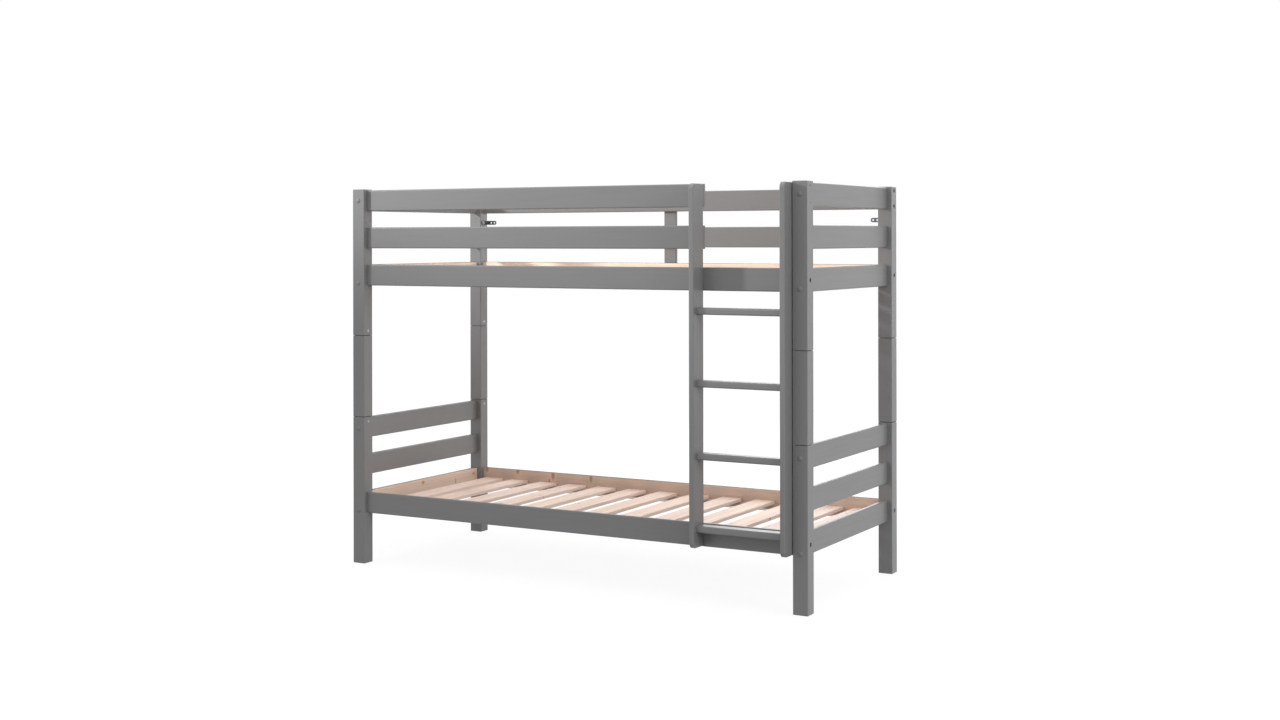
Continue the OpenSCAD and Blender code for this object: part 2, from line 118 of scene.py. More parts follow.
# Knots that show on the inner faces of the lower rails and on a slat: centre and half sizes
PLACED_KNOTS = (
    ((-1.007, 0.013, 0.289), (0.02, 0.015, 0.01)),
    ((-1.007, 0.4335, 0.281), (0.02, 0.012, 0.008)),
    ((-0.965, 0.487, 0.297), (0.011, 0.02, 0.014)),
    ((-0.793, 0.487, 0.302), (0.013, 0.02, 0.02)),
    ((-0.6, 0.487, 0.295), (0.011, 0.02, 0.03)),
    ((-0.398, 0.487, 0.296), (0.011, 0.02, 0.028)),
    ((0.6707, 0.068, 0.261), (0.006, 0.008, 0.02)),
)
# Tones of the rails against the slats, which paint light and shade: the lower bed's rails are
# darkened as painted shade from the upper bed, by the axis that their broad faces are square to,
# and the upper bed's rails are lightened as painted key light; and the heights between which the
# lower bed's painted shade gives way to the upper bed's painted light
LOWER_RAIL_PAINTED_SHADE = {"X": (0.835, 0.82, 0.77, 1), "Y": (0.675, 0.645, 0.61, 1)}
UPPER_RAIL_PAINTED_LIGHT = (0.935, 0.965, 0.92, 1)
BETWEEN_BEDS = (0.6, 0.9)
# The two tints between which each board has its own
WARM_TINT = (1.02, 0.985, 0.94, 1)
COOL_TINT = (0.985, 0.955, 0.95, 1)
RING_SPACING = 0.005
# Share of the cells in the wood that hold a knot
KNOTS_IN_SLATS = 0.26
KNOTS_IN_RAILS = 0.3
# Cells for knots per metre along, across and through a board
KNOT_CELLS = (4.0, 11.0, 1.0)
# A knot's least radius, what chance adds to it, its length to its width, and a spike's stretch
KNOT_RADIUS = 0.0028
KNOT_SPREAD = 0.0055
KNOT_LENGTH = 1.2
SPIKE_STRETCH = 5.0
# How far the pith lies beside a board and behind it, and how the rings run along the board
PITH_BESIDE = (-0.05, 0.05)
PITH_BEHIND = (0.03, 0.09)
RING_SLOPE = (-0.02, 0.02)
RING_WANDER = 0.03
RING_PUSH_BY_KNOT = 0.009
# How far apart in the wood and in the paint two boards lie
WOOD_SHIFT = (3.0, 0.4, 0.4)
PAINT_SHIFT = (7.3, 7.3, 7.3)
# Stretch of each noise along, across and through a board, per metre
STRETCH = {
    "lean": (1.1, 5.0, 5.0),
    "fibre": (9.0, 520.0, 520.0),
    "bands": (1.6, 42.0, 42.0),
    "cloud": (2.2, 9.0, 9.0),
    "grain": (5.0, 260.0, 260.0),
    "brush": (3.0, 90.0, 90.0),
    "scratch": (180.0, 720.0, 2160.0),
}
PAINT_PEEL = 700.0
PATCHES = 38.0
TAPE_THREADS = 260.0
# The part of a noise's range that an effect spans
CORE = (0.3, 0.7)
MOST = (0.25, 0.75)
WIDE = (0.2, 0.8)
WHOLE = (0.0, 1.0)
# Name and roughness of each metal, by the setting that holds its colour
METALS = {
    "zinc": ("zinc_plating", 0.36),
    "dark_steel": ("blackened_steel", 0.45),
    "strap_steel": ("strap_steel", 0.6),
    "brass": ("plain_brass", 0.35),
}

# ---- fixed stage ----

SENSOR_WIDTH = 36.0
# The key lamp faces up, and lights the bed with the soft edge of its very wide beam
KEY_FACING = Vector((0.3696, 0.4184, 0.8297))
KEY_BEAM = math.radians(171.9)
KEY_BLEND = 0.13
KEY_RADIUS = 0.2
# Size of each soft box and what it faces, and the places of the two that have no setting
SIDE_SIZE, SIDE_TARGET = 3.0, Vector((0.5, 0, 1.0))
BACK_SIZE, BACK_TARGET = 4.0, Vector((0, 0, 0.8))
BACK_PLACE = Vector((0, 5.0, 2.6))
TOP_SIZE, TOP_TARGET = 4.0, Vector((0, 0, 0))
TOP_PLACE = Vector((0, -0.6, 5.0))
FLOOR_LEVEL = -0.0005
# Grey of the floor under diffuse light and to the camera, and the glow that the camera adds
FLOOR_GREY = 0.3
SEEN_FLOOR_GREY = 0.15
SEEN_FLOOR_GLOW = 0.88

# ---- settings ----


def a_length(name, description, default, low, high):
    return FloatProperty(
        name=name, description=description, default=default, min=low, max=high, unit="LENGTH"
    )


def a_colour(name, description, default):
    return FloatVectorProperty(
        name=name, description=description, default=default, min=0, max=1, subtype="COLOR"
    )


def a_place(name, description, default):
    return FloatVectorProperty(
        name=name, description=description, default=default, subtype="TRANSLATION"
    )


def an_angle(name, description, degrees):
    return FloatProperty(
        name=name, description=description, default=math.radians(degrees), subtype="ANGLE"
    )


def a_power(name, description, default):
    return FloatProperty(name=name, description=description, default=default, min=0, unit="POWER")


class BunkBedShape(bpy.types.PropertyGroup):
    """Sizes that the finished pieces add to the frame."""

    rail_round: a_length("Rail rounding", "Radius along the edges of rails", 0.005, 0.001, 0.008)
    rung_round: a_length("Rung rounding", "Radius along the edges of rungs", 0.006, 0.001, 0.01)
    end_ease: a_length("End ease", "Radius around the sawn ends of boards", 0.0008, 0.0002, 0.002)
    stile_corner: a_length(
        "Stile corner", "Radius of the front corners of the ladder stiles", 0.022, 0.005, 0.03
    )
    stile_arris: a_length(
        "Stile edge", "Radius along all the edges of the ladder stiles", 0.003, 0.0005, 0.005
    )
    slat_arris: a_length("Slat edge", "Radius along the edges of the slats", 0.0012, 0.0005, 0.005)
    cap_rim: a_length("Cap rim", "Height of the straight rim of a bolt cap", 0.0008, 0.0002, 0.002)
    cap_rings: IntProperty(
        name="Cap rings", description="Steps in the dome of a bolt cap",
        default=7, min=3, max=16,
    )
    post_edge: a_length(
        "Post edge", "Radius along the ends and holes of the posts", 0.0005, 0.0001, 0.0015
    )
    joint_gap: a_length("Joint gap", "Gap between posts that stand on each other", 0.001, 0, 0.002)
    strap_edge: a_length("Strap edge", "Radius of the brackets' edges", 0.0003, 0.0001, 0.0008)


class BunkBedFinish(bpy.types.PropertyGroup):
    """Colours of paint, wood, metal and tape, and the gloss and wear of the paint."""

    paint: a_colour("Paint", "Colour of the satin paint", (0.193, 0.193, 0.194))
    paint_gloss: FloatProperty(
        name="Paint roughness", description="Roughness of the satin paint",
        default=0.36, min=0.1, max=0.9,
    )
    edge_wear: FloatProperty(
        name="Edge wear", description="How far the paint pales where it thins over an edge",
        default=0.2, min=0, max=1,
    )
    early_wood: a_colour("Early wood", "Pale wood between the rings", (0.965, 0.795, 0.705))
    late_wood: a_colour("Late wood", "Darker wood of the rings", (0.78, 0.535, 0.395))
    knot: a_colour("Knots", "Colour of the knots", (0.26, 0.115, 0.055))
    zinc: a_colour("Zinc", "Colour of plated screws, pins and washers", (0.56, 0.57, 0.60))
    dark_steel: a_colour("Dark steel", "Colour of the blackened bolts", (0.07, 0.07, 0.075))
    strap_steel: a_colour(
        "Strap steel", "Colour of the perforated strap of the wall brackets", (0.17, 0.175, 0.195)
    )
    brass: a_colour("Brass", "Colour of the threaded inserts", (0.62, 0.45, 0.20))
    webbing: a_colour("Webbing", "Colour of the tapes under the slats", (0.74, 0.72, 0.66))


class BunkBedStage(bpy.types.PropertyGroup):
    """Camera, lamps and floor."""

    camera_place: a_place("Camera place", "Where the camera stands", (3.4395, -6.3954, 1.3996))
    camera_turn: an_angle(
        "Camera turn", "Turn of the camera to the left of straight ahead", 31.037
    )
    camera_roll: an_angle("Camera roll", "Tilt of the camera about its own line of sight", -0.11)
    focal_length: FloatProperty(
        name="Focal length", description="In millimetres, on a 36 mm wide sensor",
        default=48.18, min=20, max=120,
    )
    shift_x: FloatProperty(name="Shift X", description="Sideways lens shift", default=0.0829)
    shift_y: FloatProperty(name="Shift Y", description="Upward lens shift", default=-0.0954)
    key_place: a_place(
        "Key lamp place", "Where the key lamp hangs, front left", (-4.287, -3.04, 3.32)
    )
    key_power: a_power("Key lamp power", "Power of the key lamp", 977.0)
    side_place: a_place(
        "Side lamp place", "Where the soft box stands, front right", (8.2, -2.8, 3.2)
    )
    side_power: a_power("Side lamp power", "Power of the soft box", 180.0)
    top_power: a_power("Top lamp power", "Power of the soft box overhead", 35.0)
    back_power: a_power("Back lamp power", "Power of the soft box behind the bed", 105.0)
    room_strength: FloatProperty(
        name="Room light", description="Strength of the even light of the room",
        default=0.87, min=0,
    )
    floor_size: FloatProperty(
        name="Floor", description="Side of the floor", default=60.0, min=5, unit="LENGTH",
    )


# ---- edit-mode helpers ----


def clear_selection():
    """Leaves edit mode and deselects everything."""
    if bpy.context.object and bpy.context.object.mode != "OBJECT":
        bpy.ops.object.mode_set(mode="OBJECT")
    bpy.ops.object.select_all(action="DESELECT")


def make_active(piece):
    """Selects one piece alone."""
    clear_selection()
    piece.select_set(True)
    bpy.context.view_layer.objects.active = piece


def pick(piece, kind, wanted):
    """Selects each EDGE or FACE of a mesh in edit mode for which wanted is true."""
    bpy.ops.mesh.select_mode(type=kind)
    bpy.ops.mesh.select_all(action="DESELECT")
    mesh = bmesh.from_edit_mesh(piece.data)
    for part in mesh.edges if kind == "EDGE" else mesh.faces:
        part.select = wanted(part)
    bmesh.update_edit_mesh(piece.data)


def round_edges(piece, wanted, radius, steps, **more):
    """Rounds the edges of a mesh in edit mode for which wanted is true."""
    pick(piece, "EDGE", wanted)
    bpy.ops.mesh.bevel(offset=radius, segments=steps, affect="EDGES", **more)


def runs_along(edge, axis):
    """True if an edge is parallel to axis."""
    step = edge.verts[1].co - edge.verts[0].co
    return abs(step[AXES[axis]]) > PARALLEL * step.length


def is_rim(edge):
    """True if two faces meet at this edge at a clear angle."""
    return len(edge.link_faces) == 2 and edge.calc_face_angle() > RIM_ANGLE


def apply_modifier(piece, kind, **values):
    """Adds a modifier with these values and applies it."""
    make_active(piece)
    modifier = piece.modifiers.new(kind.title(), kind)
    for name, value in values.items():
        setattr(modifier, name, value)
    bpy.ops.object.modifier_apply(modifier=modifier.name)


def smooth(piece, angle=SMOOTH_ANGLE):
    """Leaves edit mode and shades a piece smooth between its sharp edges."""
    make_active(piece)
    bpy.ops.object.shade_smooth_by_angle(angle=angle)


def ease_sharp_edges(piece, radius):
    """Rounds every sharp edge of a finished piece a little."""
    apply_modifier(
        piece, "BEVEL", width=radius, segments=FINE_STEPS, limit_method="ANGLE",
        angle_limit=SHARP_ANGLE,
    )
    smooth(piece)


def join(name, parts):
    """Joins copies into one piece of that name."""
    clear_selection()
    for part in parts:
        part.select_set(True)
    bpy.context.view_layer.objects.active = parts[0]
    bpy.ops.object.join()
    whole = bpy.context.object
    whole.name = name
    return whole


def copy_of(piece, name):
    """A copy of a piece with a mesh of its own."""
    twin = piece.copy()
    twin.data = piece.data.copy()
    twin.name = name
    bpy.context.scene.collection.objects.link(twin)
    return twin


def merged_copy(node, name):
    """A new piece from a node's mesh, its triangles merged into flat faces, in edit mode."""
    piece = copy_of(frame["nodes"][node], name)
    piece.data.materials.clear()
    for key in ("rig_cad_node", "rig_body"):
        del piece[key]
    piece.parent = None
    make_active(piece)
    bpy.ops.object.mode_set(mode="EDIT")
    bpy.ops.mesh.select_all(action="SELECT")
    bpy.ops.mesh.remove_doubles(threshold=MERGE_DISTANCE)
    bpy.ops.mesh.dissolve_limited(angle_limit=FLAT_ANGLE)
    return piece


def mark_board(piece, low, high):
    """Notes the middle of a board on its mesh, so that each board has wood of its own."""
    centre = (low + high) / 2
    note = piece.data.attributes.new("board_centre", "FLOAT_VECTOR", "POINT")
    for item in note.data:
        item.vector = centre


def dress(piece, node, slot, *materials):
    """Gives a new piece its materials, and ties it to the node it stands for."""
    for material in materials:
        piece.data.materials.append(material)
    apply_modifier(piece, "WEIGHTED_NORMAL", keep_sharp=True)
    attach(piece, frame["nodes"][node]["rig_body"])
    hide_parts(node)


def paint_node(node, material):
    """Gives a node of the frame a new material."""
    piece = frame["nodes"][node]
    for place in piece.material_slots:
        place.link = "OBJECT"
        place.material = material


def loose_parts(node):
    """The boxes of the separate solids in a node of the frame, as (low, high) corners."""
    mesh = bmesh.new()
    mesh.from_mesh(frame["nodes"][node].data)
    bmesh.ops.remove_doubles(mesh, verts=mesh.verts, dist=MERGE_DISTANCE)
    seen, boxes = set(), []
    for start in mesh.verts:
        if start in seen:
            continue
        seen.add(start)
        reached, island = [start], []
        while reached:
            vert = reached.pop()
            island.append(vert.co.copy())
            for edge in vert.link_edges:
                other = edge.other_vert(vert)
                if other not in seen:
                    seen.add(other)
                    reached.append(other)
        low = Vector(min(co[i] for co in island) for i in range(3))
        high = Vector(max(co[i] for co in island) for i in range(3))
        boxes.append((low, high))
    mesh.free()
    return boxes


# ---- boards ----


def add_block(name, low, high):
    """A block between two corners, in edit mode."""
    clear_selection()
    bpy.ops.mesh.primitive_cube_add(size=1, location=(low + high) / 2)
    block = bpy.context.object
    block.name = block.data.name = name
    block.scale = high - low
    bpy.ops.object.transform_apply()
    bpy.ops.object.mode_set(mode="EDIT")
    return block


def add_board(name, low, high, axis, radius):
    """A planed board with rounded long edges, eased ends and rings of edges along its length."""
    board = add_block(name, low, high)
    round_edges(board, lambda edge: runs_along(edge, axis), radius, BOARD_STEPS)
    end_ease = bpy.context.scene.bunk_bed_shape.end_ease
    round_edges(
        board, lambda edge: not runs_along(edge, axis) and is_rim(edge), end_ease, FINE_STEPS
    )
    length = (high - low)[AXES[axis]]
    pick(
        board, "EDGE",
        lambda edge: runs_along(edge, axis) and edge.calc_length() > length / 2,
    )
    bpy.ops.mesh.subdivide(number_cuts=max(1, round(length / BOARD_RING_SPACING)))
    smooth(board)
    return board


def board_for(node, axis, radius):
    """The board that stands for a node of the frame."""
    return add_board(f"{node}_board", *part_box(node), axis, radius)


def paint_board(board, node, axis, *more):
    """Finishes a board with paint along its grain, and any materials that follow the paint."""
    mark_board(board, *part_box(node))
    dress(board, node, "grey_paint", paint_material(axis), *more)


def bare_inner_face(board, side):
    """Leaves the inner face of a board on that side of the bed unpainted."""
    for face in board.data.polygons:
        if face.normal.dot(INWARD[side]) > FACES_INWARD:
            face.material_index = BARE_FACE_MATERIAL


def screw_heads(low, high):
    """Places and radii of the screw heads that lie in the +Y face of a board of the upper bed."""
    found = []
    for a, b in loose_parts("upper_screws"):
        middle = (a + b) / 2
        inside = all(low[i] < middle[i] < high[i] for i in (AXES["X"], AXES["Z"]))
        at_face = min(abs(a.y - high.y), abs(b.y - high.y)) < 2 * HEAD_ROOM
        if inside and at_face:
            found.append((Vector((middle.x, high.y, middle.z)), (b.x - a.x) / 2))
    return found


def sink_heads(board, heads, drop=Vector()):
    """Cuts a round recess in the +Y face of a board for each screw head, lowered by drop."""
    for spot, radius in heads:
        clear_selection()
        bpy.ops.mesh.primitive_cylinder_add(
            vertices=HEAD_SIDES, radius=radius + HEAD_ROOM, depth=2 * HEAD_DEPTH,
            location=spot - drop, rotation=(QUARTER, 0, 0),
        )
        cutter = bpy.context.object
        bpy.ops.object.transform_apply()
        apply_modifier(board, "BOOLEAN", operation="DIFFERENCE", object=cutter, solver="EXACT")
        bpy.data.objects.remove(cutter)


# ---- shader nodes ----


def feed(tree, socket, value):
    """Links an output to a socket, or sets the socket to a constant."""
    if isinstance(value, bpy.types.NodeSocket):
        tree.links.new(value, socket)
    else:
        socket.default_value = value


def add_node(tree, kind, inputs=None, **values):
    """A node with its properties set, and its inputs fed by name or number."""
    made = tree.nodes.new(kind)
    for name, value in values.items():
        setattr(made, name, value)
    for key, value in (inputs or {}).items():
        feed(tree, made.inputs[key], value)
    return made


def math_node(tree, operation, a, b=0.0, c=0.0):
    made = add_node(tree, "ShaderNodeMath", {0: a, 1: b, 2: c}, operation=operation)
    return made.outputs[0]


def times(tree, a, b):
    return math_node(tree, "MULTIPLY", a, b)


def times_plus(tree, a, b, c):
    return math_node(tree, "MULTIPLY_ADD", a, b, c)


def diagonal(tree, a, b):
    """The length of a line that reaches a one way and b the other."""
    return math_node(tree, "SQRT", math_node(tree, "ADD", times(tree, a, a), times(tree, b, b)))


def vector_math(tree, operation, a, b=(0, 0, 0), c=(0, 0, 0), output="Vector"):
    made = add_node(tree, "ShaderNodeVectorMath", {0: a, 1: b, 2: c}, operation=operation)
    return made.outputs[output]


def separate(tree, vector):
    return add_node(tree, "ShaderNodeSeparateXYZ", {"Vector": vector}).outputs


def separate_colour(tree, colour):
    return add_node(tree, "ShaderNodeSeparateColor", {"Color": colour}).outputs


def chance_at(tree, vector):
    """Outputs of a noise that gives each vector a value and a colour of its own."""
    return add_node(
        tree, "ShaderNodeTexWhiteNoise", {"Vector": vector}, noise_dimensions="3D"
    ).outputs


def noise(tree, vector, scale, detail=2.0, roughness=0.5):
    return add_node(
        tree, "ShaderNodeTexNoise",
        {"Vector": vector, "Scale": scale, "Detail": detail, "Roughness": roughness},
    ).outputs["Fac"]


def stretched_noise(tree, vector, pattern, detail=2.0, roughness=0.5):
    stretched = vector_math(tree, "MULTIPLY", vector, STRETCH[pattern])
    return noise(tree, stretched, 1.0, detail, roughness)


def ease(tree, value, span, result=WHOLE):
    """Maps a value smoothly from a span to a range of results."""
    ends = {"From Min": span[0], "From Max": span[1], "To Min": result[0], "To Max": result[1]}
    return add_node(
        tree, "ShaderNodeMapRange", {"Value": value, **ends}, interpolation_type="SMOOTHSTEP"
    ).outputs["Result"]


def mix_colour(tree, factor, a, b, blend="MIX"):
    made = add_node(
        tree, "ShaderNodeMix", {0: factor, 6: a, 7: b}, data_type="RGBA", blend_type=blend
    )
    return made.outputs[2]


def tinted(tree, colour, tint):
    """A colour multiplied by another colour or by a value."""
    return mix_colour(tree, 1.0, colour, tint, "MULTIPLY")


# ---- shader groups ----

# Kinds of the groups' sockets that aren't floats, and the outputs of the pine figure
SOCKETS = {"Vector": "Vector", "Board": "Vector", "Colour": "Color"}
FIGURE = ("Late Wood", "Knot", "Halo", "Fibre", "Bands")


def new_group(name, inputs, outputs):
    """An empty shader group with named sockets, and the values that it is given."""
    group = bpy.data.node_groups.new(name, "ShaderNodeTree")
    for in_out, labels in (("INPUT", inputs), ("OUTPUT", outputs)):
        for label in labels:
            kind = f"NodeSocket{SOCKETS.get(label, 'Float')}"
            group.interface.new_socket(label, in_out=in_out, socket_type=kind)
    return group, group.nodes.new("NodeGroupInput").outputs


def put_out(group, values):
    """Sends values out of a group, by name."""
    result = group.nodes.new("NodeGroupOutput")
    for label, value in values.items():
        group.links.new(value, result.inputs[label])


def place_group(tree, name, build, **inputs):
    """Places a group, built the first time it is asked for, and returns its outputs."""
    if name not in bpy.data.node_groups:
        build(name)
    group = bpy.data.node_groups[name]
    inputs = {key.replace("_", " "): value for key, value in inputs.items()}
    return add_node(tree, "ShaderNodeGroup", inputs, node_tree=group).outputs


def build_pine_figure(name):
    """Growth rings, knots and fibre of a pine board whose length is along X."""
    group, given = new_group(name, ("Vector", "Board", "Ring Spacing", "Knots"), FIGURE)
    luck = chance_at(group, given["Board"])["Color"]
    shift = vector_math(group, "MULTIPLY", luck, WOOD_SHIFT)
    own = vector_math(group, "ADD", given["Vector"], shift)

    # at most one knot in each cell of a flat pattern, so knots run right through the board;
    # some are spikes, cut along their length
    stretched = vector_math(group, "MULTIPLY", own, KNOT_CELLS)
    cell = add_node(
        group, "ShaderNodeTexVoronoi", {"Vector": stretched, "Scale": 1.0},
        voronoi_dimensions="2D",
    ).outputs
    chance = separate_colour(group, cell["Color"])
    present = math_node(group, "LESS_THAN", chance["Red"], given["Knots"])
    bulk = math_node(group, "POWER", chance["Green"], 2.0)
    size = times_plus(group, bulk, KNOT_SPREAD, KNOT_RADIUS)
    spike = ease(group, chance["Blue"], (0.66, 0.7), (1.0, SPIKE_STRETCH))
    offset = vector_math(group, "SUBTRACT", stretched, cell["Position"])
    away = separate(group, vector_math(group, "DIVIDE", offset, KNOT_CELLS))
    along = math_node(group, "DIVIDE", away["X"], times(group, size, KNOT_LENGTH))
    beside = math_node(group, "DIVIDE", away["Y"], times(group, size, spike))
    near = diagonal(group, along, beside)
    knot = times(group, ease(group, near, (1.2, 0.7)), present)
    halo = times(group, ease(group, near, (4.5, 0.4)), present)

    # rings around a pith that lies outside the board, leaning a little along it
    place, lucky = separate(group, given["Vector"]), separate_colour(group, luck)
    lean = stretched_noise(group, own, "lean", 3.0)
    across = math_node(group, "ADD", place["Y"], ease(group, lucky["Red"], WHOLE, PITH_BESIDE))
    through = math_node(group, "ADD", place["Z"], ease(group, lucky["Green"], WHOLE, PITH_BEHIND))
    slope = times(group, place["X"], ease(group, lucky["Blue"], WHOLE, RING_SLOPE))
    radius = math_node(group, "ADD", diagonal(group, across, through), slope)
    radius = times_plus(group, lean, RING_WANDER, radius)
    radius = times_plus(group, halo, RING_PUSH_BY_KNOT, radius)
    turn = math_node(group, "FRACT", math_node(group, "DIVIDE", radius, given["Ring Spacing"]))
    late = times(group, ease(group, turn, (0.35, 0.9)), ease(group, turn, (1.0, 0.93)))

    fibre = stretched_noise(group, own, "fibre")
    bands = stretched_noise(group, own, "bands", 3.0, 0.6)
    put_out(group, dict(zip(FIGURE, (late, knot, halo, fibre, bands))))


def build_brushed_paint(name):
    """Uneven shade, gloss and surface of satin paint over wood grain that runs along X."""
    group, given = new_group(
        name, ("Vector", "Colour", "Roughness"), ("Colour", "Roughness", "Height")
    )
    cloud = stretched_noise(group, given["Vector"], "cloud", 3.0)
    grain = stretched_noise(group, given["Vector"], "grain", 3.0, 0.6)
    brush = stretched_noise(group, given["Vector"], "brush")
    peel = noise(group, given["Vector"], PAINT_PEEL, 1.0)
    shade = times(
        group, ease(group, cloud, CORE, (0.98, 1.02)), ease(group, grain, MOST, (0.975, 1.025))
    )
    height = times_plus(group, brush, 0.5, times(group, grain, 0.6))
    put_out(group, {
        "Colour": tinted(group, given["Colour"], shade),
        "Roughness": times(group, given["Roughness"], ease(group, brush, MOST, (0.93, 1.07))),
        "Height": times_plus(group, peel, 0.25, height),
    })


def build_edge_wear(name):
    """A mask that is 1 on rubbed edges, broken up by noise."""
    group, given = new_group(name, ("Vector", "Width"), ("Mask",))
    soft = add_node(group, "ShaderNodeBevel", {"Radius": given["Width"]}, samples=4).outputs[0]
    true = add_node(group, "ShaderNodeNewGeometry").outputs["Normal"]
    match = vector_math(group, "DOT_PRODUCT", soft, true, output="Value")
    edge = ease(group, match, (0.998, 0.93))
    patchy = ease(group, noise(group, given["Vector"], PATCHES, 4.0, 0.65), (0.35, 0.7))
    put_out(group, {"Mask": times(group, edge, patchy)})


def build_plain_weave(name):
    """Height of a plain weave, its threads along X and Y, and shade painted where they dip."""
    group, given = new_group(name, ("Vector", "Threads"), ("Height", "Shade"))
    threads = [
        add_node(
            group, "ShaderNodeTexWave",
            {"Vector": given["Vector"], "Scale": given["Threads"], "Distortion": 0.6,
             "Detail": 1.0},
            wave_type="BANDS", bands_direction=direction,
        ).outputs["Fac"]
        for direction in ("X", "Y")
    ]
    height = times(group, *threads)
    # painted shade: the weave is darker where its threads dip below each other
    put_out(group, {"Height": height, "Shade": ease(group, height, WHOLE, (0.72, 1.05))})


# ---- materials ----


def rgba(colour):
    return (*colour, 1.0)


def paler(colour, gain, lift=0.0):
    return tuple(min(1.0, gain * part + lift) for part in colour)


def shared_material(name, make, *values):
    """A material by name, made the first time it is asked for.

    make gives the shader's inputs, and a bump's height, distance and strength.
    """
    if name not in bpy.data.materials:
        material = bpy.data.materials.new(name)
        material.use_nodes = True
        tree = material.node_tree
        place = add_node(tree, "ShaderNodeTexCoord").outputs["Object"]
        surface = make(tree, place, bpy.context.scene.bunk_bed_finish, *values)
        bump = dict(zip(("Height", "Distance", "Strength"), surface.pop("Bump")))
        surface["Normal"] = add_node(tree, "ShaderNodeBump", bump).outputs["Normal"]
        for key, value in surface.items():
            feed(tree, tree.nodes["Principled BSDF"].inputs[key], value)
    return bpy.data.materials[name]


def rub_edges(tree, place, colour, bared, width, amount):
    """A colour that gives way to another on the rubbed edges of a piece."""
    wear = place_group(tree, "Edge Wear", build_edge_wear, Vector=place, Width=width)
    return mix_colour(tree, times(tree, wear["Mask"], amount), colour, rgba(bared))


def board_place(tree, place, axis):
    """Coordinates about a board's middle, turned so that X follows its grain, and its middle."""
    turn = {"X": (0, 0, 0), "Y": (0, 0, -QUARTER), "Z": (0, QUARTER, 0)}[axis]
    centre = add_node(tree, "ShaderNodeAttribute", attribute_name="board_centre").outputs["Vector"]
    local = vector_math(tree, "SUBTRACT", place, centre)
    turned = add_node(tree, "ShaderNodeMapping", {"Vector": local, "Rotation": turn})
    return turned.outputs["Vector"], centre


def paint_material(axis):
    """Satin grey paint on pine whose grain runs along axis."""
    return shared_material(f"grey_paint_along_{axis.lower()}", brush_on_paint, axis)


def brush_on_paint(tree, place, finish, axis):
    grain, centre = board_place(tree, place, axis)
    paint = place_group(
        tree, "Brushed Paint", build_brushed_paint,
        Vector=vector_math(tree, "MULTIPLY_ADD", centre, PAINT_SHIFT, grain),
        Colour=rgba(finish.paint), Roughness=finish.paint_gloss,
    )
    pale = paler(finish.paint, 1.35, 0.02)
    return {
        "Base Color": rub_edges(
            tree, place, paint["Colour"], pale, width=0.003, amount=finish.edge_wear
        ),
        "Roughness": paint["Roughness"],
        "Bump": (paint["Height"], 0.00025, 0.22),
    }


def pine_material(axis, flat_side):
    """Bare planed pine whose grain runs along axis, its broad face square to flat_side."""
    name = f"bare_pine_along_{axis.lower()}_{flat_side.lower()}"
    return shared_material(name, plane_pine, axis, flat_side)


def plane_pine(tree, place, finish, axis, flat_side):
    grain, centre = board_place(tree, place, axis)
    if flat_side != "Z":
        grain = add_node(
            tree, "ShaderNodeMapping", {"Vector": grain, "Rotation": (QUARTER, 0, 0)}
        ).outputs["Vector"]
    figure = place_group(
        tree, "Pine Figure", build_pine_figure, Vector=grain, Board=centre,
        Ring_Spacing=RING_SPACING, Knots=KNOTS_IN_SLATS if flat_side == "Z" else KNOTS_IN_RAILS,
    )
    late, knot, halo, fibre, bands = (figure[label] for label in FIGURE)
    wood = mix_colour(
        tree, times(tree, late, 0.5), rgba(finish.early_wood), rgba(finish.late_wood)
    )
    wood = tinted(tree, wood, ease(tree, fibre, MOST, (0.92, 1.05)))
    wood = tinted(tree, wood, ease(tree, bands, CORE, (0.88, 1.06)))
    chance = chance_at(tree, centre)["Value"]
    wood = tinted(tree, wood, mix_colour(tree, chance, WARM_TINT, COOL_TINT))
    # painted shade and light: the lower bed's rails are darkened, the upper bed's rails lightened
    if flat_side in LOWER_RAIL_PAINTED_SHADE:
        upper = ease(tree, separate(tree, place)["Z"], BETWEEN_BEDS)
        tone = mix_colour(tree, upper, LOWER_RAIL_PAINTED_SHADE[flat_side], UPPER_RAIL_PAINTED_LIGHT)
        wood = tinted(tree, wood, tone)
    for middle, half_sizes in PLACED_KNOTS:
        away = vector_math(tree, "SUBTRACT", place, middle)
        away = vector_math(tree, "DIVIDE", away, half_sizes)
        near = vector_math(tree, "LENGTH", away, output="Value")
        knot = math_node(tree, "MAXIMUM", knot, ease(tree, near, (1.2, 0.3), (0.0, 0.75)))
        halo = math_node(tree, "MAXIMUM", halo, ease(tree, near, (2.2, 0.6)))
    wood = mix_colour(tree, times(tree, halo, 0.45), wood, rgba(finish.late_wood))
    wood = mix_colour(tree, times(tree, knot, 0.9), wood, rgba(finish.knot))
    rough = ease(tree, fibre, WIDE, (0.46, 0.58))
    return {
        "Base Color": rub_edges(tree, place, wood, finish.late_wood, width=0.002, amount=0.2),
        "Roughness": times_plus(tree, knot, -0.1, rough),
        "Bump": (times_plus(tree, late, 0.5, fibre), 0.0002, 0.4),
    }


def metal_material(setting):
    """Plated or plain metal in the colour of a setting."""
    return shared_material(METALS[setting][0], plate_metal, setting)


def plate_metal(tree, place, finish, setting):
    """Metal with fine scratches and rubbed edges."""
    colour, roughness = getattr(finish, setting), METALS[setting][1]
    cloud = noise(tree, place, 60.0, 4.0, 0.6)
    scratch = stretched_noise(tree, place, "scratch")
    tone = tinted(tree, rgba(colour), ease(tree, cloud, CORE, (0.82, 1.12)))
    bright = paler(colour, 1.5, 0.05)
    return {
        "Base Color": rub_edges(tree, place, tone, bright, width=0.0008, amount=0.6),
        "Roughness": ease(tree, scratch, WIDE, (roughness * 0.8, roughness * 1.2)),
        "Metallic": 1.0,
        "Bump": (scratch, 0.00002, 0.5),
    }


def cap_material():
    """Grey moulded plastic of the bolt caps."""
    return shared_material("cap_plastic", mould_plastic)


